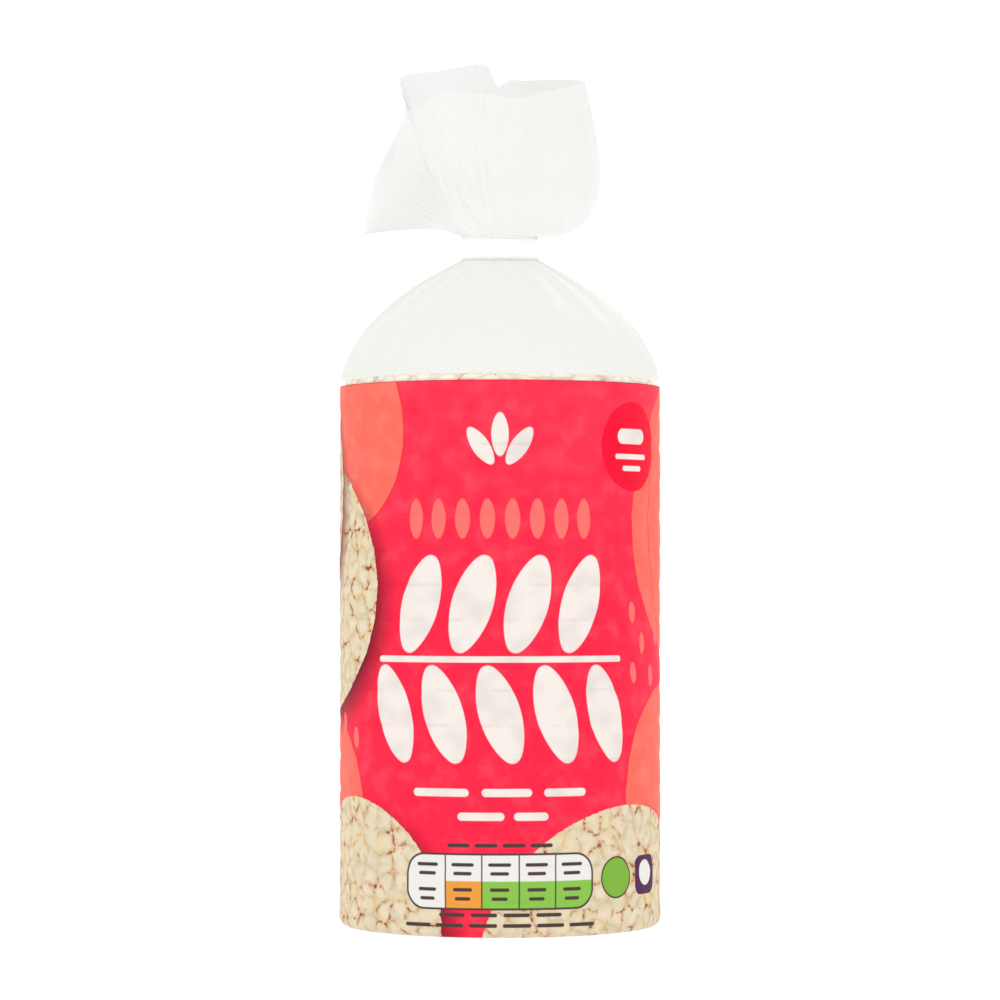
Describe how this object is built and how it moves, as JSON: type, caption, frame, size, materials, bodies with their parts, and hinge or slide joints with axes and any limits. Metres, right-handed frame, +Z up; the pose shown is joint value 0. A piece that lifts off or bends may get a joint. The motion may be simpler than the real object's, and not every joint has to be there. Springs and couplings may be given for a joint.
{
  "type": "tied film pack of puffed rice cakes",
  "caption": "Tall round film pack of stacked puffed rice cakes with a clear domed top, tied at the neck with white tape under a loose frill of film.",
  "frame": {"origin": "on the axis of the stack of cakes, at the face the pack stands on", "axes": "+Z up the stack towards the neck and frill, X the pack's width and the neck's wide way, -Y the printed front"},
  "size_m": [0.095, 0.095, 0.2574],
  "materials": {
    "printed_film": "satin",
    "white_tape": "satin",
    "clear_film": "clear gloss",
    "puffed_rice": "matte"
  },
  "bodies": {
    "root": {"bag": "printed_film", "neck_tape": "white_tape"}
  },
  "joints": []
}
